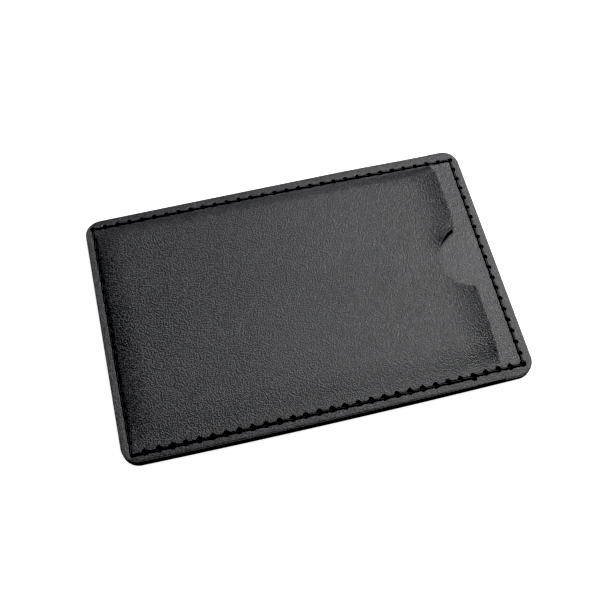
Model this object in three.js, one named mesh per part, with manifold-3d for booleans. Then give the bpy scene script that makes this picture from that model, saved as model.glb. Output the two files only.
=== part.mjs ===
// A slim card sleeve in black leatherette: a back panel, a stiff core board and an inner panel, cut to one
// outline, with a front panel sewn over them on three sides so that a card slides in from the open end.
// Millimetres. +X is the open end, +Y the far long side, +Z up; the sleeve lies on its back at z = 0.
import * as THREE from "three";
import { mergeVertices } from "three/addons/utils/BufferGeometryUtils.js";
import Module from "manifold-3d";

// Overall size of the sleeve, with the paint on its cut edges
const LENGTH = 98;
const WIDTH = 65;
const CORNER_RADIUS = 4;
const CORNER_SEGMENTS = 8;

// Sheets, from the bottom up
const BACK_THICKNESS = 0.8;
const CORE_THICKNESS = 0.5;
const INNER_THICKNESS = 0.7;
const TAPE_THICKNESS = 0.1;
const FRONT_THICKNESS = 0.8;
const PAINT_THICKNESS = 0.15;

// The card that the pocket takes
const CARD_THICKNESS = 0.76;
const CARD_CLEARANCE = 0.14;

// Open end: the strip of inner panel left bare, and the thumb notch in the front panel's edge
const BARE_STRIP = 7.4;
const NOTCH_RADIUS = 9;
const NOTCH_DEPTH = 6.1;
const NOTCH_SEGMENTS = 48;

// The front panel rises over the card along a ramp that starts just inside the seam's groove
const RAMP_SETBACK = 0.2;
const RAMP_RUN = 1.8;

// Seam: one row of lockstitches all the way round, with square corners
const SEAM_MARGIN = 2.1;
const STITCH_PITCH = 3.1;
const THREAD_DIAMETER = 0.45;
const THREAD_SIDES = 8;
const LEG_WIDTH = 0.34;
const HOLE_CLEARANCE = 0.25;
const GROOVE_CLEARANCE = 0.3;
const STEP_CLEARANCE = 0.25;
const THREAD_PROUD = 0.12;
const THREAD_SEAT_GAP = 0.08;
const LOCK_GAP = 0.3;

// Double-sided tape that holds the front panel's edge for sewing, between the holes and the cut edge
const TAPE_WIDTH = 1.0;
const TAPE_INSET = 0.15;
const TAPE_END_GAP = 0.3;

// How far a cutting tool runs past what it cuts
const OVERCUT = 1;
const BLEND_DEPTH = 0.1;

// Levels
const coreBottom = BACK_THICKNESS;
const innerBottom = coreBottom + CORE_THICKNESS;
const innerTop = innerBottom + INNER_THICKNESS;
const frontBottom = innerTop + TAPE_THICKNESS;
const frontTop = frontBottom + FRONT_THICKNESS;
const pocketHeight = CARD_THICKNESS + CARD_CLEARANCE;
const rise = pocketHeight - TAPE_THICKNESS;
const crownTop = frontTop + rise;

// Plan positions
const openEdge = LENGTH / 2 - BARE_STRIP;
const seamX = LENGTH / 2 - SEAM_MARGIN;
const seamY = WIDTH / 2 - SEAM_MARGIN;
const threadRadius = THREAD_DIAMETER / 2;
const holeSize = THREAD_DIAMETER + 2 * HOLE_CLEARANCE;
const grooveWidth = THREAD_DIAMETER + 2 * GROOVE_CLEARANCE;
const grooveDepth = THREAD_DIAMETER + THREAD_SEAT_GAP - THREAD_PROUD;
const backGrooveDepth = THREAD_DIAMETER + THREAD_SEAT_GAP;
const lockLevel = innerTop / 2;

const LEATHERETTE = { color: 0x1c1c1f, roughness: 0.62, metalness: 0 };
const LINING = { color: 0x232327, roughness: 0.55, metalness: 0 };
const BOARD = { color: 0x6f6759, roughness: 0.95, metalness: 0 };
const TAPE = { color: 0xd8d2bf, roughness: 0.5, metalness: 0 };
const THREAD = { color: 0x08080a, roughness: 0.75, metalness: 0 };
const PAINT = { color: 0x0b0b0c, roughness: 0.4, metalness: 0 };

const wasm = await Module();
wasm.setup();

// A closed three.js geometry as a manifold-3d solid.
function solidOf(geometry) {
  const bare = geometry.clone();
  bare.deleteAttribute("normal");
  bare.deleteAttribute("uv");
  const merged = mergeVertices(bare, 1e-4);
  const mesh = new wasm.Mesh({
    numProp: 3,
    vertProperties: merged.attributes.position.array,
    triVerts: new Uint32Array(merged.index.array),
  });
  return new wasm.Manifold(mesh);
}

function geometryOf(solid) {
  const mesh = solid.getMesh();
  const geometry = new THREE.BufferGeometry();
  geometry.setAttribute("position", new THREE.BufferAttribute(mesh.vertProperties, 3));
  geometry.setIndex(new THREE.BufferAttribute(mesh.triVerts, 1));
  geometry.computeVertexNormals();
  return geometry;
}

function joined(solids) {
  return solids.reduce((whole, solid) => whole.add(solid));
}

// A box from its lowest to its highest corner.
function box(low, high) {
  const size = high.map((value, axis) => value - low[axis]);
  const middle = high.map((value, axis) => (value + low[axis]) / 2);
  return solidOf(new THREE.BoxGeometry(...size).translate(...middle));
}

// The sleeve's outline, taken in from the finished edge by an inset.
function outline(inset) {
  const x = LENGTH / 2 - inset;
  const y = WIDTH / 2 - inset;
  const r = CORNER_RADIUS - inset;
  const shape = new THREE.Shape();
  shape.moveTo(-x + r, -y);
  shape.lineTo(x - r, -y);
  shape.absarc(x - r, -y + r, r, -Math.PI / 2, 0, false);
  shape.lineTo(x, y - r);
  shape.absarc(x - r, y - r, r, 0, Math.PI / 2, false);
  shape.lineTo(-x + r, y);
  shape.absarc(-x + r, y - r, r, Math.PI / 2, Math.PI, false);
  shape.lineTo(-x, -y + r);
  shape.absarc(-x + r, -y + r, r, Math.PI, 1.5 * Math.PI, false);
  return shape;
}

function sheet(inset, bottom, thickness) {
  const geometry = new THREE.ExtrudeGeometry(outline(inset), {
    depth: thickness,
    bevelEnabled: false,
    curveSegments: CORNER_SEGMENTS,
  });
  return solidOf(geometry.translate(0, 0, bottom));
}

// A mound with a flat crown: its foot is set back from the seam, it slopes in on three sides, and it runs
// out past the open edge. The foot is carried a little below footLevel along the same slope.
function mound(footLevel) {
  const spread = (RAMP_RUN * BLEND_DEPTH) / rise;
  const setback = grooveWidth / 2 + RAMP_SETBACK - spread;
  const footX = -seamX + setback;
  const footY = seamY - setback;
  const inward = RAMP_RUN + spread;
  const length = openEdge + OVERCUT - footX;
  const height = rise + BLEND_DEPTH;
  const geometry = new THREE.BoxGeometry(length, 2 * footY, height);
  const points = geometry.attributes.position;
  for (let i = 0; i < points.count; i++) {
    if (points.getZ(i) < 0) continue;
    points.setY(i, points.getY(i) - Math.sign(points.getY(i)) * inward);
    if (points.getX(i) < 0) points.setX(i, points.getX(i) + inward);
  }
  return solidOf(geometry.translate(footX + length / 2, 0, footLevel - BLEND_DEPTH + height / 2));
}

// The seam's four sides as [start, end] pairs, taken anticlockwise from the near left corner.
const seamCorners = [
  [-seamX, -seamY],
  [seamX, -seamY],
  [seamX, seamY],
  [-seamX, seamY],
];
const seamSides = seamCorners.map((corner, i) => [corner, seamCorners[(i + 1) % seamCorners.length]]);

// Needle holes: each side is divided evenly, as near to the stitch pitch as it goes.
function holesAlong([start, end]) {
  const length = Math.hypot(end[0] - start[0], end[1] - start[1]);
  const stitches = Math.round(length / STITCH_PITCH);
  return Array.from({ length: stitches }, (_, i) => {
    const share = i / stitches;
    return [start[0] + (end[0] - start[0]) * share, start[1] + (end[1] - start[1]) * share];
  });
}
const seamHoles = seamSides.flatMap(holesAlong);

function needleHoles(bottom, top) {
  const half = holeSize / 2;
  const cut = ([x, y]) => box([x - half, y - half, bottom], [x + half, y + half, top]);
  return joined(seamHoles.map(cut));
}

// The groove that the thread's tension presses into a face, all round the seam.
function seamGroove(bottom, top) {
  const half = grooveWidth / 2;
  const outer = box([-seamX - half, -seamY - half, bottom], [seamX + half, seamY + half, top]);
  const inner = box(
    [-seamX + half, -seamY + half, bottom - OVERCUT],
    [seamX - half, seamY - half, top + OVERCUT],
  );
  return outer.subtract(inner);
}

// Everything above the inner panel past the open edge of the front panel.
function beyondOpenEdge(bottom) {
  return box(
    [openEdge, -WIDTH / 2 - OVERCUT, bottom],
    [LENGTH / 2 + OVERCUT, WIDTH / 2 + OVERCUT, crownTop + OVERCUT],
  );
}

const through = needleHoles(-OVERCUT, crownTop + OVERCUT);

function backPanel() {
  return sheet(PAINT_THICKNESS, 0, BACK_THICKNESS)
    .subtract(seamGroove(-OVERCUT, backGrooveDepth))
    .subtract(through);
}

function coreBoard() {
  return sheet(PAINT_THICKNESS, coreBottom, CORE_THICKNESS).subtract(through);
}

// The groove is pressed only where the inner panel is bare.
function innerPanel() {
  const bare = box(
    [openEdge, -WIDTH / 2, innerTop - grooveDepth],
    [LENGTH / 2, WIDTH / 2, innerTop + OVERCUT],
  );
  const groove = seamGroove(innerTop - grooveDepth, innerTop + OVERCUT).intersect(bare);
  return sheet(PAINT_THICKNESS, innerBottom, INNER_THICKNESS).subtract(groove).subtract(through);
}

function frontPanel() {
  const notch = new THREE.CylinderGeometry(
    NOTCH_RADIUS,
    NOTCH_RADIUS,
    crownTop + 2 * OVERCUT,
    NOTCH_SEGMENTS,
  );
  notch.rotateX(Math.PI / 2);
  notch.translate(openEdge - NOTCH_DEPTH + NOTCH_RADIUS, 0, crownTop / 2);
  return sheet(PAINT_THICKNESS, frontBottom, FRONT_THICKNESS)
    .add(mound(frontTop))
    .subtract(mound(frontBottom))
    .subtract(beyondOpenEdge(frontBottom - OVERCUT))
    .subtract(seamGroove(frontTop - grooveDepth, frontTop + OVERCUT))
    .subtract(through)
    .subtract(solidOf(notch));
}

// A straight length of thread between two points.
function threadRun(from, to) {
  const start = new THREE.Vector3(...from);
  const end = new THREE.Vector3(...to);
  const along = end.clone().sub(start);
  const rod = new THREE.CylinderGeometry(threadRadius, threadRadius, along.length(), THREAD_SIDES);
  const turn = new THREE.Quaternion().setFromUnitVectors(
    new THREE.Vector3(0, 1, 0),
    along.clone().normalize(),
  );
  const middle = start.add(end).multiplyScalar(0.5);
  return solidOf(rod.applyQuaternion(turn).translate(middle.x, middle.y, middle.z));
}

// The thread's leg in a needle hole, squeezed square and thinner than the run.
function threadLeg([x, y], bottom, top) {
  const half = LEG_WIDTH / 2;
  return box([x - half, y - half, bottom], [x + half, y + half, top]);
}

// A run that is longer by half a thread at each end, so that runs meet at a corner.
function cornerRun(from, to) {
  const along = new THREE.Vector3(...to).sub(new THREE.Vector3(...from)).setLength(threadRadius);
  const end = new THREE.Vector3(...to).add(along).toArray();
  const start = new THREE.Vector3(...from).sub(along).toArray();
  return threadRun(start, end);
}

// The upper thread lies on the front panel, steps down over its open edge to the inner panel, and dips into
// each needle hole as far as the lock with the lower thread.
function needleThread() {
  const high = frontTop + THREAD_PROUD - threadRadius;
  const low = innerTop + THREAD_PROUD - threadRadius;
  const stepX = openEdge + threadRadius + STEP_CLEARANCE;
  const lockTop = lockLevel + LOCK_GAP / 2;
  const runs = [
    cornerRun([-seamX, -seamY, high], [-seamX, seamY, high]),
    cornerRun([seamX, -seamY, low], [seamX, seamY, low]),
  ];
  for (const y of [-seamY, seamY]) {
    runs.push(cornerRun([-seamX, y, high], [stepX, y, high]));
    runs.push(cornerRun([stepX, y, low], [stepX, y, high]));
    runs.push(cornerRun([stepX, y, low], [seamX, y, low]));
  }
  for (const hole of seamHoles) runs.push(threadLeg(hole, lockTop, hole[0] > stepX ? low : high));
  return joined(runs);
}

// The lower thread lies in the back panel's groove, above the surface that the sleeve rests on.
function bobbinThread() {
  const level = THREAD_SEAT_GAP / 2 + threadRadius;
  const lockBottom = lockLevel - LOCK_GAP / 2;
  const runs = seamSides.map(([start, end]) => cornerRun([...start, level], [...end, level]));
  for (const hole of seamHoles) runs.push(threadLeg(hole, level, lockBottom));
  return joined(runs);
}

// Strips of tape between the inner and front panels, in the margin outside the needle holes.
const tapeOuter = PAINT_THICKNESS + TAPE_INSET;
const tapeEnd = CORNER_RADIUS + TAPE_END_GAP;

function endTape() {
  const x = -LENGTH / 2 + tapeOuter;
  const y = WIDTH / 2 - tapeEnd;
  return box([x, -y, innerTop], [x + TAPE_WIDTH, y, frontBottom]);
}

function sideTape(side) {
  const y = WIDTH / 2 - tapeOuter;
  const low = side < 0 ? -y : y - TAPE_WIDTH;
  return box(
    [-LENGTH / 2 + tapeEnd, low, innerTop],
    [openEdge - TAPE_END_GAP, low + TAPE_WIDTH, frontBottom],
  );
}

// The paint that seals the cut edges: a thin band that steps down where the front panel ends.
function edgePaint() {
  return sheet(0, 0, frontTop)
    .subtract(sheet(PAINT_THICKNESS, -OVERCUT, frontTop + 2 * OVERCUT))
    .subtract(beyondOpenEdge(innerTop));
}

const group = new THREE.Group();

function addPiece(name, solid, finish) {
  const mesh = new THREE.Mesh(geometryOf(solid), new THREE.MeshStandardMaterial(finish));
  mesh.name = name;
  group.add(mesh);
}

addPiece("back_panel", backPanel(), LEATHERETTE);
addPiece("core_board", coreBoard(), BOARD);
addPiece("inner_panel", innerPanel(), LINING);
addPiece("seam_tape_end", endTape(), TAPE);
addPiece("seam_tape_near", sideTape(-1), TAPE);
addPiece("seam_tape_far", sideTape(1), TAPE);
addPiece("front_panel", frontPanel(), LEATHERETTE);
addPiece("needle_thread", needleThread(), THREAD);
addPiece("bobbin_thread", bobbinThread(), THREAD);
addPiece("edge_paint", edgePaint(), PAINT);

export default group;
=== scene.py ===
"""The looks of a stitched leatherette card sleeve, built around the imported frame.

Lengths are in millimetres and become metres in build_mesh(). +X is the open end, +Y the far long side, and
the sleeve lies on its back at z = 0.
"""

import math
from collections import namedtuple

import bpy
import numpy as np
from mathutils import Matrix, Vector
from mathutils.geometry import delaunay_2d_cdt


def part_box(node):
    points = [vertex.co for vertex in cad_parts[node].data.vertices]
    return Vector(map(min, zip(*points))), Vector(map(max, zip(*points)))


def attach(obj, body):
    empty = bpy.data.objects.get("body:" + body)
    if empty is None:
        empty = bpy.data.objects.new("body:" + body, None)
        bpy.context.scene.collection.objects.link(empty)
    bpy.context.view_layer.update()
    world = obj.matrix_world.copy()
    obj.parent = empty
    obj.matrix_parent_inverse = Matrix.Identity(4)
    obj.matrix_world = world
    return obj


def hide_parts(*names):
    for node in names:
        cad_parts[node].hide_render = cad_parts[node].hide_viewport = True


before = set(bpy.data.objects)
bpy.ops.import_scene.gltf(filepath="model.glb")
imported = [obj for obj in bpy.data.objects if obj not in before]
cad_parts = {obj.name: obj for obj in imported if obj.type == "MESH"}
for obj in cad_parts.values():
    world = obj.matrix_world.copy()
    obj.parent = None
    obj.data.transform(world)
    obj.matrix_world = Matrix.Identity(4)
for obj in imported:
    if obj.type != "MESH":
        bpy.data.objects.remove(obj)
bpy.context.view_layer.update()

MM = 0.001
BODY = "root"


def node_box(name):
    """A CAD node's lowest and highest corner, in millimetres."""
    return [np.array(corner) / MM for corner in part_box(name)]


# Sizes that come from the frame
front_low, front_high = node_box("front_panel")
inner_low, inner_high = node_box("inner_panel")
back_high = node_box("back_panel")[1]
thread_high = node_box("needle_thread")[1]
paint_high = node_box("edge_paint")[1]

THREAD_RADIUS = 0.225
HALF_LENGTH, HALF_WIDTH = paint_high[0], paint_high[1]
OPEN_EDGE = front_high[0]
SEAM_X = thread_high[0] - THREAD_RADIUS
SEAM_Y = thread_high[1] - THREAD_RADIUS
BACK_TOP = back_high[2]
INNER_BOTTOM, INNER_TOP = inner_low[2], inner_high[2]
FRONT_BOTTOM, FRONT_RIM, FRONT_CROWN = front_low[2], paint_high[2], front_high[2]
FRONT_THICKNESS = FRONT_RIM - FRONT_BOTTOM

# Sizes that repeat the part's own, as THREAD_RADIUS does, and what follows from them
CORNER_RADIUS = 4.0
NOTCH_RADIUS = 9.0
NOTCH_DEPTH = 6.1
STITCH_PITCH = 3.1
NOTCH_CENTRE = OPEN_EDGE - NOTCH_DEPTH + NOTCH_RADIUS
NOTCH_HALF_TURN = math.acos((NOTCH_CENTRE - OPEN_EDGE) / NOTCH_RADIUS)
QUARTER = math.pi / 2

# Where the stitches start to press the inner panel's upper face, a little under the front panel's open edge
PRESSED_FROM = OPEN_EDGE - 1.5

# The gap that keeps touching faces apart, and the least that the stitches leave of a sheet's thickness
LAYER_GAP = 0.002
LEAST_LEFT = 0.06

# Edges of the sheets: how far they stand back from the outline, their rounding, and their raw sides
SHOWN_INSET = 0.03
COVERED_INSET = 0.13
BOARD_INSET = 0.15
NEAR_SET_BACK = 0.12
TOP_ROUND = 0.15
NEAR_RIM_ROUND = 0.38
MOST_INNER_ROUND = 0.3
LIP_ROUND = 0.12
MOST_ROUND_SHARE = 0.45
UNDER_ROUND = 0.05
BOARD_ROUND = 0.04
BACK_ROUND = 0.14
RIM_STEPS = 4
TUCK = 0.1
LEDGE = 0.01
PAINTED_SHARE = 0.75
CREASE_SHARE = 0.97

# The outline as it is cut by hand
RIGHT_SPREAD = 0.3
NEAR_FULLNESS = 0.3
NEAR_BOW = 0.5
FAR_BOW = 0.12
FAR_STEP = 0.22

# The raised pocket, and its open edge, which is skived thinner towards the places where it is sewn down
PILLOW_START = 0.35
PILLOW_RUN_LEFT = 7.0
PILLOW_RUN_FAR = 4.2
PILLOW_RUN_NEAR = 9.0
SKIVE = 0.5
SKIVE_REACH = 26.0
SKIVE_START = 1.0
SKIVE_WIDTH = 7.0

# The lip that curls up along the open edge, the broader lift behind it, and the curl at the notch's far side
LIP_FLARE = 1.4
LIP_REACH = 8.0
LIP_START = 0.6
LIP_RUN_FAR = 5.0
LIP_RUN_NEAR = 12.0
TAB_CORNER_HELD = 0.25
TAB_CORNER_Y = 8.5
TAB_CORNER_WIDTH = 2.2
BROAD_LIFT = 0.4
BROAD_LIFT_ALONG = (12, 48)
BROAD_LIFT_ACROSS = (-16, 16)
NOTCH_CURL = 0.7
NOTCH_CURL_REACH = 6.0

# The seam's wander: at the left of each long side and how much more at the right, and at the near end of each
# short side and how much more at the far end
DRIFT_FAR, DRIFT_FAR_MORE = -0.3, -0.4
DRIFT_NEAR, DRIFT_NEAR_MORE = -0.12, 0.85
DRIFT_LEFT, DRIFT_LEFT_MORE = 0.05, -0.24
DRIFT_RIGHT, DRIFT_RIGHT_MORE = -0.15, 0.36

# What the stitches press into a face: a groove, a dimple at each needle hole, puckers and a shallow sink
GROOVE_DEPTH = 0.26
GROOVE_FLAT = 0.1
GROOVE_HALF = 0.4
GROOVE_HALF_ENDS = 0.27
HOLE_DEPTH = 0.74
HOLE_FLAT = 0.44
HOLE_RADIUS = 0.78
HOLE_SHIFT_ENDS = 0.2
HOLE_SHIFT_SIDES = 0.13
HOLE_SCALE_FAR = 0.8
HOLE_SCALE_NEAR = 0.98
HOLE_SCALE_RIGHT = 0.7
HOLE_SCALE_LEFT = 0.5
TACK_X = 33.0
TACK_TEAR = 0.5
TACK_SCALE = 0.8
PUCKER = 0.02
PUCKER_FROM_HOLE = 0.6
PUCKER_LINE = 0.95
PUCKER_WIDTH = 0.4
PUCKER_DIP = 0.8
SEAM_SINK = 0.04
SEAM_SINK_WIDTH = 1.3

# The margin outside the seam
BORDER_RISE_LEFT = 0.16
BORDER_RISE_RIGHT = -0.1
BORDER_RISE_FAR_LEFT = -0.1
BORDER_RISE_FAR_RIGHT = 0.1
BORDER_RISE_NEAR = -0.12
OPEN_END_PUFF = 0.14

# The back panel's outer face
BACK_GROOVE_DEPTH = 0.5
BACK_HOLE_DEPTH = 0.66
BACK_TURN_UP = 0.07
BACK_TURN_WIDTH = 1.6


# ---------------------------------------------------------------- helpers on numbers
def smooth(a, b, x):
    """0 below a, 1 above b, with a smooth change between them."""
    t = np.clip((np.asarray(x, float) - a) / (b - a), 0, 1)
    return t * t * (3 - 2 * t)


def bell(x, middle, width):
    """1 in the middle, falling to nearly 0 at two widths from it."""
    return np.exp(-(((x - middle) / width) ** 2))


def waves(x, y, seed, size, amount):
    """A gentle unevenness made of a few sine waves."""
    rng = np.random.default_rng(seed)
    count = 7
    total = np.zeros(np.shape(x))
    for _ in range(count):
        angle, phase = rng.uniform(0, 2 * math.pi, 2)
        k = 2 * math.pi / (size * rng.uniform(0.6, 1.6))
        total = total + np.sin(k * (np.cos(angle) * x + np.sin(angle) * y) + phase)
    return amount * total / count


# ---------------------------------------------------------------- the seam and the outline, seen from above
def seam_drift(x, y):
    """How far the hand-guided seam wanders from its rectangle near a place."""
    u, v = np.clip(x / SEAM_X, -1, 1), np.clip(y / SEAM_Y, -1, 1)
    towards_right, towards_far = (u + 1) / 2, (v + 1) / 2
    far = DRIFT_FAR + DRIFT_FAR_MORE * smooth(-0.2, 0.7, u)
    near = DRIFT_NEAR + DRIFT_NEAR_MORE * smooth(0.35, 1.1, u)
    left = DRIFT_LEFT + DRIFT_LEFT_MORE * towards_far
    right = DRIFT_RIGHT + DRIFT_RIGHT_MORE * towards_far
    return left + (right - left) * towards_right, near + (far - near) * towards_far


def undrifted(x, y):
    """A place's coordinates before the seam's drift."""
    dx, dy = seam_drift(x, y)
    return x - dx, y - dy


def seam_distance(x, y):
    """Signed distance inwards from the seam line, which is nearly a rectangle."""
    x, y = undrifted(x, y)
    return np.minimum(SEAM_X - np.abs(x), SEAM_Y - np.abs(y))


def outline_shift(x, y):
    """How the hand-cut outline leaves its rounded rectangle: fuller at the open end, and with long edges that
    fall back towards their ends. The lower sheets reach a little further where the front panel ends."""
    u, v = x / HALF_LENGTH, y / HALF_WIDTH
    along = RIGHT_SPREAD * smooth(OPEN_EDGE + 0.5, HALF_LENGTH, x)
    near = (NEAR_BOW * u * u - NEAR_FULLNESS) * np.clip(-v, 0, 1)
    far = (FAR_STEP * smooth(OPEN_EDGE - 0.6, OPEN_EDGE + 0.8, x) - FAR_BOW * u * u) * np.clip(v, 0, 1)
    return along, near + far


def edge_distance(x, y):
    """Distance inwards from the sleeve's rounded outline."""
    shift_x, shift_y = outline_shift(x, y)
    x, y = x - shift_x, y - shift_y
    qx = np.abs(x) - (HALF_LENGTH - CORNER_RADIUS)
    qy = np.abs(y) - (HALF_WIDTH - CORNER_RADIUS)
    outside = np.hypot(np.maximum(qx, 0), np.maximum(qy, 0))
    return CORNER_RADIUS - (outside + np.minimum(np.maximum(qx, qy), 0))


def near_side(y):
    """1 along the near side, 0 elsewhere."""
    return smooth(HALF_WIDTH - 3, HALF_WIDTH - 0.8, -y)


def rim_round(x, y):
    """Radius of a shown rim's upper edge, softer along the near side."""
    return TOP_ROUND + (NEAR_RIM_ROUND - TOP_ROUND) * near_side(y)


def seam_holes():
    """Needle holes clockwise from the near left corner, seen from above: (x, y, along x, along y)."""
    corners = [(-SEAM_X, -SEAM_Y), (-SEAM_X, SEAM_Y), (SEAM_X, SEAM_Y), (SEAM_X, -SEAM_Y)]
    holes = []
    for (ax, ay), (bx, by) in zip(corners, corners[1:] + corners[:1]):
        length = math.hypot(bx - ax, by - ay)
        count = round(length / STITCH_PITCH)
        for i in range(count):
            t = i / count
            x, y = ax + (bx - ax) * t, ay + (by - ay) * t
            dx, dy = seam_drift(x, y)
            holes.append((x + dx, y + dy, (bx - ax) / length, (by - ay) / length))
    return np.array(holes)


HOLES = seam_holes()


def tack_hole():
    """The hole on the near side where the sewing starts and ends."""
    near = [i for i in range(len(HOLES)) if HOLES[i][2] < -0.5]
    return min(near, key=lambda i: abs(HOLES[i][0] - TACK_X))


def seam_dimples():
    """The dimple round each needle hole, pulled a little towards +X or +Y, and one more where the doubled
    stitches have torn the sheet: (x, y, scale)."""
    x, y, _, along_y = HOLES.T
    at_end = np.abs(along_y) > 0.5
    at_ends = np.where(x > 0, HOLE_SCALE_RIGHT, HOLE_SCALE_LEFT)
    at_sides = np.where(y > 0, HOLE_SCALE_FAR, HOLE_SCALE_NEAR)
    scale = np.where(at_end, at_ends, at_sides)
    dimples = np.column_stack([x + HOLE_SHIFT_ENDS * at_end, y + HOLE_SHIFT_SIDES * ~at_end, scale])
    tack = HOLES[tack_hole()]
    return np.vstack([dimples, [tack[0], tack[1] - TACK_TEAR, TACK_SCALE]])


DIMPLES = seam_dimples()


def hole_distance(x, y):
    """Distance to the nearest dimple's middle, divided by that dimple's scale."""
    x, y = np.atleast_1d(x), np.atleast_1d(y)
    near = np.full(x.shape, np.inf)
    for hx, hy, scale in DIMPLES:
        near = np.minimum(near, np.hypot(x - hx, y - hy) / scale)
    return near


# ---------------------------------------------------------------- heights of the sheets' faces
def seam_relief(x, y, depth, hole_depth):
    """How the stitching presses a groove, dimples and puckers into a sheet's face."""
    px, py = undrifted(x, y)
    from_end, from_side = SEAM_X - np.abs(px), SEAM_Y - np.abs(py)
    past_corner = np.hypot(np.maximum(-from_end, 0), np.maximum(-from_side, 0))
    line = np.where(past_corner > 0, past_corner, np.abs(np.minimum(from_end, from_side)))
    from_hole = hole_distance(x, y)
    half = np.where(from_end < from_side, GROOVE_HALF_ENDS, GROOVE_HALF)
    groove = depth * (1 - smooth(GROOVE_FLAT, half, line))
    pit = hole_depth * (1 - smooth(HOLE_FLAT, HOLE_RADIUS, from_hole))
    between_holes = smooth(PUCKER_FROM_HOLE, STITCH_PITCH / 2, from_hole)
    pucker = PUCKER * bell(line, PUCKER_LINE, PUCKER_WIDTH) * (2 * between_holes - PUCKER_DIP)
    sink = SEAM_SINK * bell(line, 0, SEAM_SINK_WIDTH)
    return np.maximum(pucker - sink - np.maximum(groove, pit), -hole_depth)


def border_rise(x, y):
    """How the margin outside the seam turns up or down towards the cut edge, side by side."""
    px, py = undrifted(x, y)
    over_x = np.maximum(np.abs(px) - SEAM_X, 0) ** 2
    over_y = np.maximum(np.abs(py) - SEAM_Y, 0) ** 2
    end = np.where(px > 0, BORDER_RISE_RIGHT, BORDER_RISE_LEFT)
    far = BORDER_RISE_FAR_LEFT + (BORDER_RISE_FAR_RIGHT - BORDER_RISE_FAR_LEFT) * smooth(-10, SEAM_X, px)
    side = np.where(py > 0, far, BORDER_RISE_NEAR)
    rise = (over_x * end + over_y * side) / (over_x + over_y + 1e-9)
    return rise * smooth(-0.3, 2.2, -seam_distance(x, y))


def front_thickness(x, y):
    """The front panel's thickness, skived towards the two places where its open edge is sewn down."""
    _, py = undrifted(x, y)
    towards_edge = smooth(OPEN_EDGE - SKIVE_REACH, OPEN_EDGE, x)
    near_seam = 1 - smooth(SKIVE_START, SKIVE_WIDTH, SEAM_Y - np.abs(py))
    return FRONT_THICKNESS - SKIVE * towards_edge * near_seam


def pillow_rise(x, y):
    """How the pocket stands up from its left seam and its two long seams."""
    px, py = undrifted(x, y)
    run = np.where(py > 0, PILLOW_RUN_FAR, PILLOW_RUN_NEAR)
    from_left = np.clip((px + SEAM_X - PILLOW_START) / (PILLOW_RUN_LEFT - PILLOW_START), 0, 1)
    pillow = (1 - (1 - from_left) ** 2) * smooth(PILLOW_START, run, SEAM_Y - np.abs(py))
    return (FRONT_CROWN - FRONT_RIM) * pillow


def broad_lift(x, y):
    """How the far part of the open end stands a little higher than the rest."""
    _, py = undrifted(x, y)
    inside = smooth(LIP_START, LIP_RUN_FAR, SEAM_Y - np.abs(py))
    return BROAD_LIFT * smooth(*BROAD_LIFT_ALONG, x) * smooth(*BROAD_LIFT_ACROSS, y) * inside


def lip_curl(x, y):
    """How the open edge curls up, less where it is sewn down and beside the notch's far corner."""
    _, py = undrifted(x, y)
    run = np.where(py > 0, LIP_RUN_FAR, LIP_RUN_NEAR)
    towards_lip = np.clip((x - OPEN_EDGE + LIP_REACH) / LIP_REACH, 0, 1) ** 2
    away_from_seam = smooth(LIP_START, run, SEAM_Y - np.abs(py))
    held = 1 - TAB_CORNER_HELD * bell(y, TAB_CORNER_Y, TAB_CORNER_WIDTH)
    return LIP_FLARE * towards_lip * away_from_seam * held


def notch_curl(x, y):
    """How the far side of the thumb notch curls up, most of all halfway to the open edge."""
    reach = np.hypot(x - NOTCH_CENTRE, y)
    turn = y / np.maximum(reach, 0.1)
    close = np.clip(1 - (reach - NOTCH_RADIUS) / NOTCH_CURL_REACH, 0, 1) ** 2
    return NOTCH_CURL * close * smooth(0.3, 0.8, turn) * (1 - smooth(0.8, 1.0, turn))


def front_rise(x, y):
    """How far the front panel stands over its sewn border."""
    return pillow_rise(x, y) + broad_lift(x, y) + lip_curl(x, y) + notch_curl(x, y)


def front_top(x, y):
    thickness = front_thickness(x, y)
    deepest = thickness - LEAST_LEFT
    body = FRONT_BOTTOM + thickness + front_rise(x, y) + border_rise(x, y)
    relief = seam_relief(x, y, np.minimum(GROOVE_DEPTH, deepest), np.minimum(HOLE_DEPTH, deepest))
    unevenness = waves(x, y, seed=3, size=34, amount=0.05) * smooth(1, 8, seam_distance(x, y))
    return body + relief + unevenness


def front_bottom(x, y):
    return FRONT_BOTTOM + front_rise(x, y) + LAYER_GAP


def inner_top(x, y):
    """The inner panel's upper face, which the stitches press and puff up only past the open edge."""
    shown = smooth(PRESSED_FROM, OPEN_EDGE - 0.5, x)
    border = OPEN_END_PUFF * (1 - smooth(-0.6, 1.2, seam_distance(x, y))) + border_rise(x, y)
    relief = seam_relief(x, y, GROOVE_DEPTH, INNER_TOP - INNER_BOTTOM - LEAST_LEFT)
    unevenness = waves(x, y, seed=5, size=26, amount=0.03) * smooth(0.5, 4, seam_distance(x, y))
    return INNER_TOP + (relief + border) * shown + unevenness


def inner_bottom(x, y):
    return np.full(np.shape(x), INNER_BOTTOM)


def board_top(x, y):
    return np.full(np.shape(x), INNER_BOTTOM - LAYER_GAP)


def board_bottom(x, y):
    return np.full(np.shape(x), BACK_TOP)


def back_top(x, y):
    return np.full(np.shape(x), BACK_TOP - LAYER_GAP)


def back_face(x, y):
    """The back panel's outer face, which the sleeve rests on."""
    turned_up = BACK_TURN_UP * (1 - smooth(0.0, BACK_TURN_WIDTH, edge_distance(x, y)))
    return np.maximum(turned_up - seam_relief(x, y, BACK_GROOVE_DEPTH, BACK_HOLE_DEPTH), 0)


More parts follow.
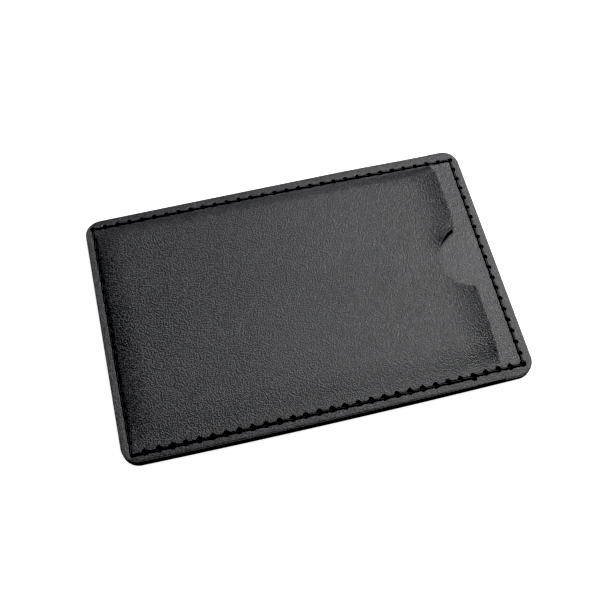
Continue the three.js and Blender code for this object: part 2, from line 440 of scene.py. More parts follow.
# ---------------------------------------------------------------- outlines
def arc(cx, cy, radius, start, end, step):
    """Points on an arc, both ends included, about a step apart."""
    count = max(2, math.ceil(abs(end - start) * radius / step))
    angles = np.linspace(start, end, count + 1)
    return np.stack([cx + radius * np.cos(angles), cy + radius * np.sin(angles)], 1)


def notch_arc(radius, step):
    """An arc along the thumb notch, from its near end to its far one."""
    return arc(NOTCH_CENTRE, 0, radius, math.pi + NOTCH_HALF_TURN, math.pi - NOTCH_HALF_TURN, step)


def resample(points, step):
    """A closed loop of points with its straight stretches cut into even steps."""
    out = []
    for a, b in zip(points, np.roll(points, -1, 0)):
        count = max(1, math.ceil(np.hypot(*(b - a)) / step - 1e-6))
        out.extend(a + (b - a) * i / count for i in range(count))
    return np.array(out)


def hand_cut(loop):
    return loop + np.stack(outline_shift(loop[:, 0], loop[:, 1]), 1)


def panel_outline(inset, step=0.5):
    """The sleeve's rounded rectangle, anticlockwise."""
    x, y, r = HALF_LENGTH - inset, HALF_WIDTH - inset, CORNER_RADIUS - inset
    corners = [
        arc(x - r, -y + r, r, -QUARTER, 0, step),
        arc(x - r, y - r, r, 0, QUARTER, step),
        arc(-x + r, y - r, r, QUARTER, 2 * QUARTER, step),
        arc(-x + r, -y + r, r, 2 * QUARTER, 3 * QUARTER, step),
    ]
    return hand_cut(resample(np.concatenate(corners), step))


def front_outline(inset, step=0.5):
    """The front panel: closed on the left, with a straight open edge and its thumb notch on the right."""
    x, y, r = HALF_LENGTH - inset, HALF_WIDTH - inset, CORNER_RADIUS - inset
    pieces = [
        np.array([[OPEN_EDGE, -y]]),
        notch_arc(NOTCH_RADIUS, step * 0.6),
        np.array([[OPEN_EDGE, y]]),
        arc(-x + r, y - r, r, QUARTER, 2 * QUARTER, step),
        arc(-x + r, -y + r, r, 2 * QUARTER, 3 * QUARTER, step),
    ]
    return hand_cut(resample(np.concatenate(pieces), step))


def split_at_open_edge(loop):
    """The loop with two close points added wherever it passes the open edge."""
    points = []
    for a, b in zip(loop, np.roll(loop, -1, 0)):
        points.append(a)
        if (a[0] - OPEN_EDGE) * (b[0] - OPEN_EDGE) < 0:
            beside = math.copysign(0.02, b[0] - a[0])
            points += [[OPEN_EDGE - beside, a[1]], [OPEN_EDGE + beside, a[1]]]
    return np.array(points)


def inward(loop):
    """Unit vectors into an anticlockwise loop, lengthened at corners so that insets stay parallel."""
    before = loop - np.roll(loop, 1, 0)
    after = np.roll(loop, -1, 0) - loop
    before /= np.linalg.norm(before, axis=1, keepdims=True)
    after /= np.linalg.norm(after, axis=1, keepdims=True)
    normal_a = np.stack([-before[:, 1], before[:, 0]], 1)
    normal_b = np.stack([-after[:, 1], after[:, 0]], 1)
    middle = normal_a + normal_b
    middle /= np.linalg.norm(middle, axis=1, keepdims=True)
    return middle / np.maximum(np.sum(middle * normal_a, 1, keepdims=True), 0.5)


def moved_in(loop, distance):
    """The loop moved inwards, by one distance or by one for each of its points."""
    return loop + inward(loop) * np.reshape(distance, (-1, 1))


def inside_loop(points, loop):
    """Which points are inside a closed loop."""
    x, y = points[:, 0], points[:, 1]
    inside = np.zeros(len(points), bool)
    for (ax, ay), (bx, by) in zip(loop, np.roll(loop, -1, 0)):
        if ay == by:
            continue
        crosses = (ay > y) != (by > y)
        inside ^= crosses & (x < (bx - ax) * (y - ay) / (by - ay) + ax)
    return inside


# ---------------------------------------------------------------- points that fill a sheet
FINE_STEP = 0.16
FINE_REACH = 1.7
GROOVE_REACH = 0.84
LIP_LATTICE = 11


def lattice(low_x, high_x, low_y, high_y, step):
    """A triangular lattice of points."""
    rows = np.arange(low_y, high_y, step * 0.866)
    columns = np.arange(low_x, high_x, step)
    grid = [np.stack([columns + (i % 2) * step / 2, np.full(len(columns), y)], 1) for i, y in enumerate(rows)]
    return np.concatenate(grid)


def seam_points(step):
    """Rows of points along the seam, closest over its groove and holes."""
    close = np.arange(-GROOVE_REACH, GROOVE_REACH + 0.01, step * 0.85)
    beyond = np.arange(GROOVE_REACH + step * 1.5, FINE_REACH, step * 1.5)
    rows = []
    for offset in np.concatenate([-beyond, close, beyond]):
        x, y = SEAM_X - offset, SEAM_Y - offset
        corners = np.array([[x, -y], [x, y], [-x, y], [-x, -y]])
        rows.append(resample(corners, step))
    rows = np.concatenate(rows)
    return rows + np.stack(seam_drift(rows[:, 0], rows[:, 1]), 1)


def open_edge_guides(step=0.3, apart=0.04):
    """Close rows of points either side of the line under the front panel's open edge and notch."""
    rows = []
    for side in (-apart, apart):
        rows.append(notch_arc(NOTCH_RADIUS + side, step))
        straight = np.arange(NOTCH_RADIUS, SEAM_Y - 2, step)
        for sign in (-1, 1):
            rows.append(np.column_stack([np.full(len(straight), OPEN_EDGE - side), sign * straight]))
    return np.concatenate(rows)


def away_from(points, others, gap):
    """The points that are at least a gap from all the others, found on a grid of cells."""
    cells = {}
    for p in others:
        cells.setdefault((int(p[0] // gap), int(p[1] // gap)), []).append(p)
    kept = []
    for p in points:
        i, j = int(p[0] // gap), int(p[1] // gap)
        near = (q for a in (i - 1, i, i + 1) for b in (j - 1, j, j + 1) for q in cells.get((a, b), ()))
        if all((p[0] - q[0]) ** 2 + (p[1] - q[1]) ** 2 > gap * gap for q in near):
            kept.append(p)
    return np.array(kept)


def points_for(loop, step, fine=None, fine_from=-math.inf, lip_step=None, guides=None):
    """Points to fill a loop with: guides as they are, fine rows near the seam, a close lattice behind the lip
    and a wider one elsewhere, each group clear of those before it. fine_from is the fine rows' least x."""
    groups = [loop]

    def add(points, gap):
        groups.append(away_from(points[inside_loop(points, loop)], np.concatenate(groups), gap))

    if guides is not None:
        groups.append(guides[inside_loop(guides, loop)])
    if fine is not None:
        rows = seam_points(fine)
        add(rows[rows[:, 0] > fine_from], fine * 0.8)
    if lip_step is not None:
        add(lattice(OPEN_EDGE - LIP_LATTICE, OPEN_EDGE, -SEAM_Y, SEAM_Y, lip_step), lip_step * 0.6)
    add(lattice(-HALF_LENGTH, HALF_LENGTH, -HALF_WIDTH, HALF_WIDTH, step), step * 0.6)
    return np.concatenate(groups[1:])


# ---------------------------------------------------------------- mesh building
# The third slot is a painted shade: a matte black finish for the shadow inside the pocket
FACE_SLOT, RAW_SLOT, POCKET_SHADE_SLOT = 0, 1, 2
Face = namedtuple("Face", "height points round")


def build_mesh(name, vertices, faces, material_index=None, smooth_shading=True, stored=None):
    """A mesh object from millimetre vertices. stored maps names to a value for each vertex."""
    mesh = bpy.data.meshes.new(name)
    mesh.from_pydata((np.asarray(vertices) * MM).tolist(), [], faces)
    mesh.validate()
    mesh.polygons.foreach_set("use_smooth", [smooth_shading] * len(mesh.polygons))
    if material_index is not None:
        mesh.polygons.foreach_set("material_index", material_index)
    for key, values in (stored or {}).items():
        mesh.attributes.new(key, "FLOAT", "POINT").data.foreach_set("value", np.asarray(values, np.float32))
    mesh.update()
    thing = bpy.data.objects.new(name, mesh)
    bpy.context.scene.collection.objects.link(thing)
    return thing


def cap(face, ring, first, turned):
    """The vertices of a sheet's Face, its ring first, and the triangles between them, numbered from first."""
    everything = np.concatenate([ring, face.points])
    edges = [(i, (i + 1) % len(ring)) for i in range(len(ring))]
    found = delaunay_2d_cdt([Vector(p) for p in everything], edges, [], 1, 1e-5)
    places = np.array([tuple(v) for v in found[0]])
    faces = []
    for triangle in found[2]:
        a, b, c = (places[i] for i in triangle[:3])
        anticlockwise = (b[0] - a[0]) * (c[1] - a[1]) - (b[1] - a[1]) * (c[0] - a[0]) > 0
        ordered = triangle if anticlockwise != turned else triangle[::-1]
        faces.append([first + i for i in ordered])
    return np.column_stack([places, face.height(*places.T)]), faces


def rim_rows(loop, upper, lower, tuck):
    """Rows of points round a sheet's upper and lower rims, each from its face outwards: (places, heights)."""
    into = inward(loop)
    top_round = np.broadcast_to(upper.round, len(loop))
    tuck = np.broadcast_to(tuck, len(loop))[:, None]
    top_rows, bottom_rows = [], []
    for k in range(RIM_STEPS + 1):
        angle = math.pi / 2 * k / RIM_STEPS
        inset, drop = 1 - math.sin(angle), 1 - math.cos(angle)
        place = loop + into * top_round[:, None] * inset
        top_rows.append((place, upper.height(*place.T) - top_round * drop))
        place = loop + into * (lower.round * inset + tuck)
        bottom_rows.append((place, lower.height(*place.T) + lower.round * drop))
    return top_rows, bottom_rows


def raw_side(rim, foot, crease):
    """Rows down a sheet's raw side: one close under the rim, which keeps its shading crisp, one at the
    paint's upper edge, and one a little further in, behind the paint."""
    (place, high), (tucked, low) = rim, foot
    under_rim = np.minimum(high - LEDGE, low + (high - low) * crease)
    ledge = np.minimum(under_rim - LEDGE, low + (high - low) * PAINTED_SHARE)
    return [(place, under_rim), (place, ledge), (tucked, ledge - LEDGE)]


def sheet(name, loop, upper, lower, crease=None, tuck=0.0, pocket_shaded=None):
    """A closed sheet between an upper and a lower Face, with rounded rims. crease gives a raw side its first
    row, as a share of the side's height. tuck is how far the lower part of the side stands back, to make room
    for edge paint. The last argument tells which places of the upper face take the pocket's matte black
    painted shade."""
    top_rows, bottom_rows = rim_rows(loop, upper, lower, tuck)
    rows = top_rows[1:]
    raw_from = len(rows)
    if crease is not None:
        rows += raw_side(top_rows[-1], bottom_rows[-1], crease)
    rows += bottom_rows[:0:-1]

    top, faces = cap(upper, top_rows[0][0], 0, turned=False)
    slots = [FACE_SLOT] * len(faces)
    # Painted shade: places under the front panel take a matte black finish that stands for the shadow in the
    # pocket
    if pocket_shaded is not None:
        middles = np.array([top[face].mean(0) for face in faces])
        slots = [POCKET_SHADE_SLOT if inside else FACE_SLOT for inside in pocket_shaded(middles[:, :2])]
    count = len(loop)
    rings = [0] + [len(top) + i * count for i in range(len(rows) + 1)]
    bottom, bottom_faces = cap(lower, bottom_rows[0][0], rings[-1], turned=True)
    faces += bottom_faces
    slots += [FACE_SLOT] * len(bottom_faces)
    for row, (a, b) in enumerate(zip(rings, rings[1:])):
        for i in range(count):
            j = (i + 1) % count
            faces.append([a + j, a + i, b + i, b + j])
            slots.append(RAW_SLOT if crease is not None and row >= raw_from else FACE_SLOT)

    vertices = np.concatenate([top, *(np.column_stack(row) for row in rows), bottom])
    pressed = 1 - smooth(-0.2, 1.6, seam_distance(vertices[:, 0], vertices[:, 1]))
    # Marks the needle-hole dimples, which the leatherette colours near black as painted shade in the pits
    painted_hole_shade = 1 - smooth(0.6, 0.82, hole_distance(vertices[:, 0], vertices[:, 1]))
    return build_mesh(name, vertices, faces, slots, stored={"pressed": pressed, "painted_hole_shade": painted_hole_shade})


# ---------------------------------------------------------------- materials
class Nodes:
    """A small helper that adds and links shader nodes."""

    def __init__(self, name):
        self.material = bpy.data.materials.new(name)
        self.material.use_nodes = True
        self.tree = self.material.node_tree
        self.tree.nodes.clear()
        self.shader = self.add("ShaderNodeBsdfPrincipled")
        self.add("ShaderNodeOutputMaterial", {"Surface": self.shader.outputs[0]})
        place = self.add("ShaderNodeTexCoord").outputs["Object"]
        self.place = self.add("ShaderNodeMapping", {"Vector": place, "Rotation": (0.2, 0.1, 0.6)}).outputs[0]

    def add(self, kind, inputs=None, **settings):
        node = self.tree.nodes.new(kind)
        for key, value in settings.items():
            setattr(node, key, value)
        for key, value in (inputs or {}).items():
            self.feed(node.inputs[key], value)
        return node

    def feed(self, socket, value):
        if isinstance(value, bpy.types.NodeSocket):
            self.tree.links.new(value, socket)
        else:
            socket.default_value = value

    def noise(self, size_mm, detail=4.0, roughness=0.55, distortion=0.0):
        inputs = {"Vector": self.place, "Scale": 1 / (size_mm * MM), "Detail": detail}
        inputs.update({"Roughness": roughness, "Distortion": distortion})
        return self.add("ShaderNodeTexNoise", inputs).outputs["Fac"]

    def cells(self, size_mm):
        """Distance to the middle of the nearest of many uneven cells."""
        inputs = {"Vector": self.place, "Scale": 1 / (size_mm * MM)}
        return self.add("ShaderNodeTexVoronoi", inputs).outputs["Distance"]

    def ramp(self, value, low, high, out_low=0.0, out_high=1.0):
        inputs = {"Value": value, "From Min": low, "From Max": high, "To Min": out_low, "To Max": out_high}
        return self.add("ShaderNodeMapRange", inputs, interpolation_type="SMOOTHSTEP").outputs[0]

    def spread(self, name, low, high):
        """A value stored on the mesh's vertices, spread between two others."""
        stored = self.add("ShaderNodeAttribute", attribute_name=name).outputs["Fac"]
        return self.ramp(stored, 0, 1, low, high)

    def sum(self, a, b, scale_b=1.0):
        inputs = {0: b, 1: scale_b, 2: a}
        return self.add("ShaderNodeMath", inputs, operation="MULTIPLY_ADD").outputs[0]

    def times(self, a, b):
        return self.add("ShaderNodeMath", {0: a, 1: b}, operation="MULTIPLY").outputs[0]

    def mix(self, factor, a, b):
        """Two colours mixed, each an RGB tuple or a socket. The node's colour inputs are numbers 6 and 7."""
        first, second = ((*color, 1) if isinstance(color, tuple) else color for color in (a, b))
        return self.add("ShaderNodeMix", {0: factor, 6: first, 7: second}, data_type="RGBA").outputs[2]

    def bump(self, height, depth_mm, strength=1.0):
        inputs = {"Height": height, "Distance": depth_mm * MM, "Strength": strength}
        return self.add("ShaderNodeBump", inputs).outputs[0]

    def finish(self, color, roughness, normal, **fixed):
        self.feed(self.shader.inputs["Base Color"], color)
        self.feed(self.shader.inputs["Roughness"], roughness)
        self.feed(self.shader.inputs["Normal"], normal)
        for key, value in fixed.items():
            self.shader.inputs[key.replace("_", " ")].default_value = value
        return self.material


def leatherette(name, dark, light, grain_mm, grain_depth, roughness, gloss):
    """Black coated leatherette: small pebbles parted by creases, fine pores, and a mottled shine. The creases
    are coloured darker than the pebbles' tops, a painted shade. Where the sewing presses the sheet flat, the
    grain is shallower, and round the needle holes the face is coloured near black and loses its shine, a
    painted shade in the pits."""
    n = Nodes(name)
    pebbles = n.ramp(n.cells(grain_mm), 0.0, 0.8, 1.0, 0.0)
    pores = n.noise(grain_mm * 0.42, 2.0, 0.7)
    swell = n.noise(grain_mm * 3, 2.0, 0.6)
    mottle = n.noise(1.1, 2.0, 0.6)
    patches = n.noise(21, 2.0, 0.5)
    height = n.sum(n.sum(n.times(pebbles, 0.8), pores, 0.7), swell, 0.25)
    raised = n.ramp(height, 0.5, 1.35)
    # Painted shade: the creases between the pebbles are coloured darker than their tops
    color = n.mix(raised, dark, light)
    color = n.mix(n.ramp(patches, 0.35, 0.7, 0.0, 0.3), color, tuple(c * 1.3 for c in light))
    shine = n.times(n.ramp(raised, 0, 1, gloss * 0.75, gloss * 1.12), n.ramp(mottle, 0.3, 0.7, 0.94, 1.05))
    # Painted shade: round each needle hole the colour goes near black and the shine drops, standing for the
    # shadow in the pit
    color = n.mix(n.spread("painted_hole_shade", 0, 1), color, (0.002, 0.002, 0.002))
    shine = n.times(shine, n.spread("painted_hole_shade", 1.0, 0.08))
    rough = n.sum(n.ramp(raised, 0, 1, roughness + 0.06, roughness - 0.03), n.spread("pressed", 0.0, 0.08))
    normal = n.bump(n.times(height, n.spread("pressed", 1.0, 0.85)), grain_depth)
    n.feed(n.shader.inputs["Specular IOR Level"], shine)
    return n.finish(color, rough, normal)


def cut_edge():
    """The raw side of a sheet: its grey-brown textile backing."""
    n = Nodes("raw_cut_edge")
    fibres = n.noise(0.16, 5.0, 0.7)
    clumps = n.noise(0.9, 2.0, 0.5)
    color = n.mix(fibres, (0.12, 0.106, 0.094), (0.26, 0.235, 0.21))
    color = n.mix(n.ramp(clumps, 0.35, 0.65, 0.0, 0.5), color, (0.1, 0.09, 0.08))
    return n.finish(color, n.ramp(fibres, 0.2, 0.8, 0.95, 0.8), n.bump(fibres, 0.08), Specular_IOR_Level=0.1)


def sewing_thread():
    """Bonded black thread: fine filaments with a low shine."""
    n = Nodes("sewing_thread")
    filaments = n.noise(0.07, 3.0, 0.6, 0.4)
    wear = n.noise(1.6, 2.0, 0.5)
    color = n.mix(filaments, (0.0012, 0.0012, 0.0014), (0.005, 0.005, 0.0055))
    color = n.mix(n.ramp(wear, 0.5, 0.75, 0.0, 0.4), color, (0.009, 0.0085, 0.008))
    rough = n.ramp(filaments, 0.3, 0.8, 0.6, 0.42)
    return n.finish(color, rough, n.bump(filaments, 0.03, 0.8), Specular_IOR_Level=0.2)


def edge_paint():
    """Black edge paint, brushed on: low waves, tiny pits, and a browner upper part, where it thins."""
    n = Nodes("edge_paint")
    brushed = n.noise(0.9, 4.0, 0.6)
    pits = n.ramp(n.cells(0.55), 0.0, 0.14)
    height_in_edge = n.add("ShaderNodeSeparateXYZ", {0: n.place}).outputs[2]
    rim = n.ramp(height_in_edge, (FRONT_BOTTOM - 0.3) * MM, FRONT_BOTTOM * MM)
    thin = n.times(rim, n.ramp(n.noise(1.3, 3.0, 0.6), 0.38, 0.62))
    color = n.mix(brushed, (0.0015, 0.0015, 0.0017), (0.004, 0.004, 0.0044))
    color = n.mix(n.times(thin, 0.6), color, (0.02, 0.014, 0.01))
    rough = n.ramp(brushed, 0.3, 0.7, 0.6, 0.8)
    height = n.sum(n.times(pits, 0.5), brushed)
    return n.finish(color, rough, n.bump(height, 0.05), Specular_IOR_Level=0.015)


def plain_fibre(name, dark, light, grain_mm, roughness, gloss=0.5):
    """Board or tape inside the sleeve, or the matte black painted shade on the pocket's inner face."""
    n = Nodes(name)
    fibres = n.noise(grain_mm, 5.0, 0.65, 0.3)
    color = n.mix(fibres, dark, light)
    rough = n.ramp(fibres, 0.2, 0.8, roughness, roughness - 0.1)
    return n.finish(color, rough, n.bump(fibres, 0.05), Specular_IOR_Level=gloss)


FRONT_FINISH = leatherette(
    "grained_leatherette",
    dark=(0.006, 0.006, 0.007),
    light=(0.015, 0.015, 0.017),
    grain_mm=0.37,
    grain_depth=0.1,
    roughness=0.37,
    gloss=0.494,
)
INNER_FINISH = leatherette(
    "smooth_leatherette",
    dark=(0.008, 0.008, 0.0095),
    light=(0.016, 0.016, 0.0185),
    grain_mm=0.37,
    grain_depth=0.072,
    roughness=0.4,
    gloss=0.422,
)
CUT_FINISH = cut_edge()
THREAD_FINISH = sewing_thread()
PAINT_FINISH = edge_paint()
# Painted shade: a dead black, matte finish for the inner panel's face under the front panel, standing for the
# shadow inside the pocket
POCKET_SHADE_FINISH = plain_fibre(
    "pocket_painted_shade",
    dark=(0.0012, 0.0012, 0.0014),
    light=(0.005, 0.005, 0.0055),
    grain_mm=0.35,
    roughness=0.95,
    gloss=0.05,
)
BOARD_FINISH = plain_fibre(
    "fibre_board", dark=(0.09, 0.07, 0.05), light=(0.2, 0.165, 0.125), grain_mm=0.5, roughness=0.95
)
TAPE_FINISH = plain_fibre(
    "adhesive_tape", dark=(0.5, 0.46, 0.36), light=(0.66, 0.61, 0.5), grain_mm=0.8, roughness=0.5
)


def finish_piece(piece, materials, node):
    """Materials, body and the CAD node that a piece stands for."""
    for material in materials:
        piece.data.materials.append(material)
    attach(piece, BODY)
    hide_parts(node)


def core_board():
    loop = panel_outline(BOARD_INSET)
    points = points_for(moved_in(loop, BOARD_ROUND), 6)
    upper = Face(board_top, points, BOARD_ROUND)
    lower = Face(board_bottom, points, BOARD_ROUND)
    piece = sheet("board_sheet", loop, upper, lower)
    finish_piece(piece, [BOARD_FINISH], "core_board")


def back_panel():
    loop = panel_outline(COVERED_INSET)
    upper = Face(back_top, points_for(moved_in(loop, UNDER_ROUND), 6), UNDER_ROUND)
    lower = Face(back_face, points_for(moved_in(loop, BACK_ROUND), 1.6, fine=0.18), BACK_ROUND)
    piece = sheet("back_sheet", loop, upper, lower)
    finish_piece(piece, [FRONT_FINISH], "back_panel")


def under_front(points):
    return inside_loop(points, front_outline(0))


def inner_panel():
    loop = split_at_open_edge(panel_outline(0))
    shown = loop[:, 0] > OPEN_EDGE
    loop = moved_in(loop, np.where(shown, SHOWN_INSET, COVERED_INSET))
    rounding = np.where(shown, np.minimum(rim_round(*loop.T), MOST_INNER_ROUND), UNDER_ROUND)
    top_points = points_for(
        moved_in(loop, rounding), 1.4, fine=FINE_STEP, fine_from=PRESSED_FROM, guides=open_edge_guides()
    )
    bottom_points = points_for(moved_in(loop, UNDER_ROUND + TUCK), 6)
    upper = Face(inner_top, top_points, rounding)
    lower = Face(inner_bottom, bottom_points, UNDER_ROUND)
    crease = np.where(shown, CREASE_SHARE, 1.0)
    tuck = np.where(shown, TUCK, 0.0)
    piece = sheet("inner_sheet", loop, upper, lower, crease, tuck, under_front)
    finish_piece(piece, [INNER_FINISH, CUT_FINISH, POCKET_SHADE_FINISH], "inner_panel")


def front_panel():
    loop = front_outline(SHOWN_INSET)
    set_back = NEAR_SET_BACK * near_side(loop[:, 1])
    loop = moved_in(loop, set_back)
    lip = (loop[:, 0] > OPEN_EDGE - NOTCH_DEPTH - 0.1) & (np.abs(loop[:, 1]) < HALF_WIDTH - 0.6)
    thickness = front_thickness(loop[:, 0], loop[:, 1])
    rounding = np.minimum(np.where(lip, LIP_ROUND, rim_round(*loop.T)), thickness * MOST_ROUND_SHARE)
    top_points = points_for(moved_in(loop, rounding), 0.9, fine=FINE_STEP, lip_step=0.5)
    bottom_points = points_for(moved_in(loop, UNDER_ROUND + TUCK), 2.2)
    upper = Face(front_top, top_points, rounding)
    lower = Face(front_bottom, bottom_points, UNDER_ROUND)
    crease = np.where(lip, 1.0, CREASE_SHARE)
    tuck = np.where(lip, 0.0, np.maximum(TUCK - set_back, 0))
    piece = sheet("front_sheet", loop, upper, lower, crease, tuck)
    finish_piece(piece, [FRONT_FINISH, CUT_FINISH], "front_panel")


# ---------------------------------------------------------------- thread
SEWN_RADIUS = 0.21
THREAD_STEP = 0.16
THREAD_PLIES = 3
THREAD_SIDES = 15
TWIST_LENGTH = 1.5

# A stitch: how far its ends stand off the seam line, where it bends out of its holes, and how it bows up
STRAND_OFFSET = 0.1
STRAND_SPREAD = 0.02
BEND_START, BEND_END = 0.07, 0.32
BEND_DROP, SHOULDER_DROP = 0.3, 0.03
STITCH_BOW = 0.05
STEP_BOW = 0.3

# The stitches sewn over the first ones to lock the ends: further off the line, and higher
TACK_STITCHES = 2
TACK_OFFSET_START, TACK_OFFSET_END = 0.16, -0.2
TACK_LIFT = 0.25

# How high over the sheet below it each thread turns in the needle holes
NEEDLE_TURN = 0.15
BOBBIN_TURN = 0.1

# The back's stitches: the level of their groove's floor, how far they stand off it, and the least height of
# their middle line
BACK_LEVEL = 0.49
BACK_PROUD = -0.04
LEAST_HEIGHT = SEWN_RADIUS + 0.03


def curve_through(points, step):
    """Evenly spaced points on a Catmull-Rom curve."""
    points = np.array(points)
    ends = np.concatenate([[2 * points[0] - points[1]], points, [2 * points[-1] - points[-2]]])
    out = []
    for a, b, c, d in zip(ends, ends[1:], ends[2:], ends[3:]):
        count = max(2, math.ceil(np.linalg.norm(c - b) / step))
        t = (np.arange(count) / count)[:, None]
        square, cube = 2 * a - 5 * b + 4 * c - d, 3 * b - a - 3 * c + d
        out.append(0.5 * (2 * b + (c - a) * t + square * t**2 + cube * t**3))
    return np.concatenate([*out, points[-1:]])


def twisted_thread(name, path):
    """Thread along a path: a lobed section carried along without spin, then turned by the twist."""
    tangents = np.gradient(path, axis=0)
    tangents /= np.linalg.norm(tangents, axis=1, keepdims=True)
    side = np.cross(tangents[0], (0, 0, 1))
    if np.linalg.norm(side) < 0.1:
        side = np.cross(tangents[0], (1, 0, 0))
    travelled = np.concatenate([[0], np.cumsum(np.linalg.norm(np.diff(path, axis=0), axis=1))])
    phi = np.linspace(0, 2 * math.pi, THREAD_SIDES, endpoint=False)
    rings = []
    for point, tangent, s in zip(path, tangents, travelled):
        side = side - tangent * np.dot(side, tangent)
        side /= np.linalg.norm(side)
        other = np.cross(tangent, side)
        turn = 2 * math.pi * s / TWIST_LENGTH
        r = SEWN_RADIUS * (0.8 + 0.2 * np.abs(np.cos(THREAD_PLIES / 2 * (phi - turn))))
        rings.append(point + np.outer(r * np.cos(phi), side) + np.outer(r * np.sin(phi), other))
    faces = []
    for k in range(len(path) - 1):
        a, b = k * THREAD_SIDES, (k + 1) * THREAD_SIDES
        for i in range(THREAD_SIDES):
            j = (i + 1) % THREAD_SIDES
            faces.append([a + i, a + j, b + j, b + i])
    vertices = np.concatenate(rings)
    faces.append(list(range(THREAD_SIDES))[::-1])
    faces.append([len(vertices) - THREAD_SIDES + i for i in range(THREAD_SIDES)])
    return build_mesh(name, vertices, faces)


def front_level(x, y):
    """Level of the groove's floor on the front panel, or on the inner one past the open edge."""
    thickness = front_thickness(x, y)
    covered = FRONT_BOTTOM + thickness - np.minimum(GROOVE_DEPTH, thickness - LEAST_LEFT)
    return np.where(np.asarray(x) <= OPEN_EDGE, covered, INNER_TOP - GROOVE_DEPTH + OPEN_END_PUFF)


def back_level(x, y):
    return np.full(np.shape(x), BACK_LEVEL)


def stitch(a, b, along, za, zb, up, turn_level):
    """Points of one stitch: out of its first hole, over in a low bow, and into its second."""
    middle = (za + zb) / 2 + up * (STITCH_BOW + STEP_BOW * abs(za - zb))
    return [
        [*a, turn_level],
        [*(a + along * BEND_START), za - up * BEND_DROP],
        [*(a + along * BEND_END), za - up * SHOULDER_DROP],
        [*((a + b) / 2), middle],
        [*(b - along * BEND_END), zb - up * SHOULDER_DROP],
        [*(b - along * BEND_START), zb - up * BEND_DROP],
        [*b, turn_level],
    ]


def stitched_path(level, up, turn_level, proud):
    """The thread's whole path clockwise round the seam: a slanting run between each pair of holes, and a loop
    down each hole. It starts on the near side and ends with a few stitches over its first ones."""
    start = tack_hole()
    path = []
    rng = np.random.default_rng(11)
    for k in range(len(HOLES) + TACK_STITCHES):
        ax, ay, dx, dy = HOLES[(start + k) % len(HOLES)]
        bx, by = HOLES[(start + k + 1) % len(HOLES)][:2]
        over = k >= len(HOLES)
        out, along = np.array([-dy, dx]), np.array([dx, dy])
        jitter = rng.normal(0, STRAND_SPREAD, 2)
        a = np.array([ax, ay]) + out * (STRAND_OFFSET + jitter[0] + TACK_OFFSET_START * over)
        b = np.array([bx, by]) - out * (STRAND_OFFSET + jitter[1] + TACK_OFFSET_END * over)
        reach = SEWN_RADIUS + proud + TACK_LIFT * over
        za = float(level(ax, ay)) + up * reach
        zb = float(level(bx, by)) + up * reach
        path += stitch(a, b, along, za, zb, up, turn_level)
    path = curve_through(path, THREAD_STEP)
    path[:, 2] = np.maximum(path[:, 2], LEAST_HEIGHT)
    return path


def threads():
    top = stitched_path(front_level, 1, INNER_BOTTOM + NEEDLE_TURN, 0.0)
    piece = twisted_thread("needle_stitches", top)
    finish_piece(piece, [THREAD_FINISH], "needle_thread")
    under = stitched_path(back_level, -1, BACK_TOP + BOBBIN_TURN, BACK_PROUD)
    piece = twisted_thread("bobbin_stitches", under)
    finish_piece(piece, [THREAD_FINISH], "bobbin_thread")


# ---------------------------------------------------------------- painted edge
LAYER_LINE = 0.04
LAYER_LINE_HALF = 0.08
PAINT_DEPTH = 0.11


def edge_section(top, seams):
    """(inset, height) points round the paint's section: up the outside with a shallow line at each layer, and
    in over the top. The back of the section closes it."""
    points = [(PAINT_DEPTH, 0.08), (0.06, 0.02), (0.01, 0.08)]
    for z in seams:
        points += [(0.0, z - LAYER_LINE_HALF), (LAYER_LINE, z), (0.0, z + LAYER_LINE_HALF)]
    return points + [(0.0, top - 0.08), (0.02, top - 0.02), (0.05, top), (PAINT_DEPTH, top)]


def edge_band():
    """The painted cut edge round the whole outline, up to just under the topmost sheet's rim."""
    loop = split_at_open_edge(panel_outline(0, 0.45))
    covered = loop[:, 0] < OPEN_EDGE
    rim = np.where(covered, front_top(*loop.T), inner_top(*loop.T)) - rim_round(*loop.T)
    base = np.where(covered, FRONT_BOTTOM, INNER_BOTTOM)
    tops = base + (rim - base) * PAINTED_SHARE
    layers = [BACK_TOP, INNER_BOTTOM, INNER_TOP]
    layers_past_open_edge = [BACK_TOP * 0.6, BACK_TOP, INNER_BOTTOM]
    rings = []
    for place, direction, top, under in zip(loop, inward(loop), tops, covered):
        section = edge_section(top, layers if under else layers_past_open_edge)
        rings.append([[*(place + direction * inset), z] for inset, z in section])
    count = len(rings[0])
    faces = []
    for k in range(len(rings)):
        a, b = k * count, (k + 1) % len(rings) * count
        for i in range(count):
            j = (i + 1) % count
            faces.append([a + i, b + i, b + j, a + j])
    piece = build_mesh("painted_edge", np.array(rings).reshape(-1, 3), faces)
    finish_piece(piece, [PAINT_FINISH], "edge_paint")


# ---------------------------------------------------------------- inner pieces kept from the frame
def dress_tapes():
    for name in ("seam_tape_end", "seam_tape_near", "seam_tape_far"):
        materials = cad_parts[name].data.materials
        materials.clear()
        materials.append(TAPE_FINISH)


# ---------------------------------------------------------------- stage, light and camera
BLACK_POINT = 0.02
CAMERA_AZIMUTH = -13.49
CAMERA_ELEVATION = 63.92
CAMERA_DISTANCE = 234.8
CAMERA_TARGET = (-0.39, 0.05, 0.0)
CAMERA_LENS = 57.09
SENSOR = 36
FLOOR_LEVEL = -0.03
FLOOR_HALF = 1500
SOFTBOX_PLACE = (270, 165, 420)
SOFTBOX_SIDE = 200
SOFTBOX_WATTS = 5.2


def aim(thing, place, target):
    """Puts a camera or a light at a place and turns it towards a target."""
    thing.location = place * MM
    thing.rotation_mode = "QUATERNION"
    thing.rotation_quaternion = (target - place).to_track_quat("-Z", "Y")
    bpy.context.scene.collection.objects.link(thing)


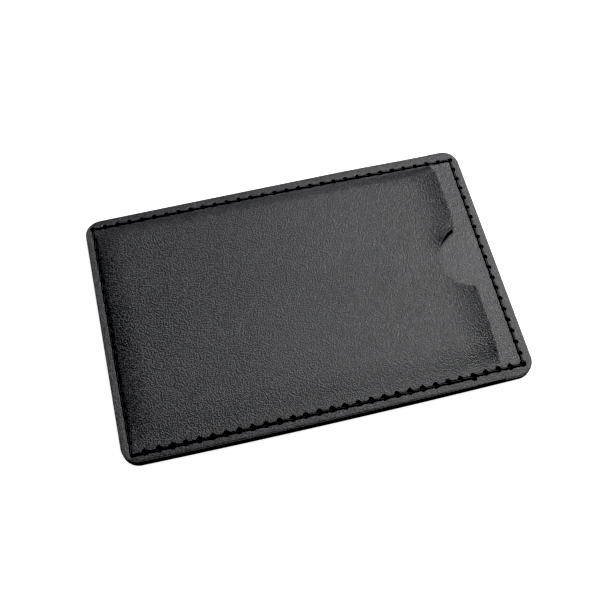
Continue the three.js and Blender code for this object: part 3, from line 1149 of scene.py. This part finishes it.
def camera():
    a, e = math.radians(CAMERA_AZIMUTH), math.radians(CAMERA_ELEVATION)
    back = Vector((math.sin(a) * math.cos(e), -math.cos(a) * math.cos(e), math.sin(e)))
    data = bpy.data.cameras.new("camera")
    data.lens, data.sensor_width = CAMERA_LENS, SENSOR
    data.clip_start, data.clip_end = 0.01, 20
    thing = bpy.data.objects.new("camera", data)
    aim(thing, Vector(CAMERA_TARGET) + back * CAMERA_DISTANCE, Vector(CAMERA_TARGET))
    bpy.context.scene.camera = thing


def floor():
    """A white sheet that glows, so that the sleeve stands on plain white with only a faint shadow."""
    signs = ((-1, -1), (1, -1), (1, 1), (-1, 1))
    corners = [(x * FLOOR_HALF, y * FLOOR_HALF, FLOOR_LEVEL) for x, y in signs]
    thing = build_mesh("floor", corners, [[0, 1, 2, 3]], smooth_shading=False)
    n = Nodes("white_paper")
    grain = n.noise(0.6, 3.0, 0.6)
    color = n.mix(grain, (0.6, 0.6, 0.6), (0.63, 0.63, 0.63))
    glow = {"Emission_Color": (1, 1, 1, 1), "Emission_Strength": 0.92}
    thing.data.materials.append(n.finish(color, 0.9, n.bump(grain, 0.01), **glow))


def softbox():
    """The one lamp, high at the back right."""
    data = bpy.data.lights.new("key_softbox", "AREA")
    data.size = SOFTBOX_SIDE * MM
    data.energy = SOFTBOX_WATTS
    aim(bpy.data.objects.new("key_softbox", data), Vector(SOFTBOX_PLACE), Vector((0, 0, 0)))


def surroundings():
    world = bpy.data.worlds.new("studio")
    world.use_nodes = True
    background = world.node_tree.nodes["Background"]
    background.inputs["Color"].default_value = (0.95, 0.97, 1.0, 1)
    background.inputs["Strength"].default_value = 0.2
    bpy.context.scene.world = world


def tone():
    """Plain colours, with the darkest tones pulled down to black."""
    view = bpy.context.scene.view_settings
    view.view_transform = "Standard"
    view.use_curve_mapping = True
    view.curve_mapping.black_level = (BLACK_POINT,) * 3
    view.curve_mapping.update()


camera()
floor()
surroundings()
softbox()
tone()
core_board()
back_panel()
inner_panel()
front_panel()
threads()
edge_band()
dress_tapes()
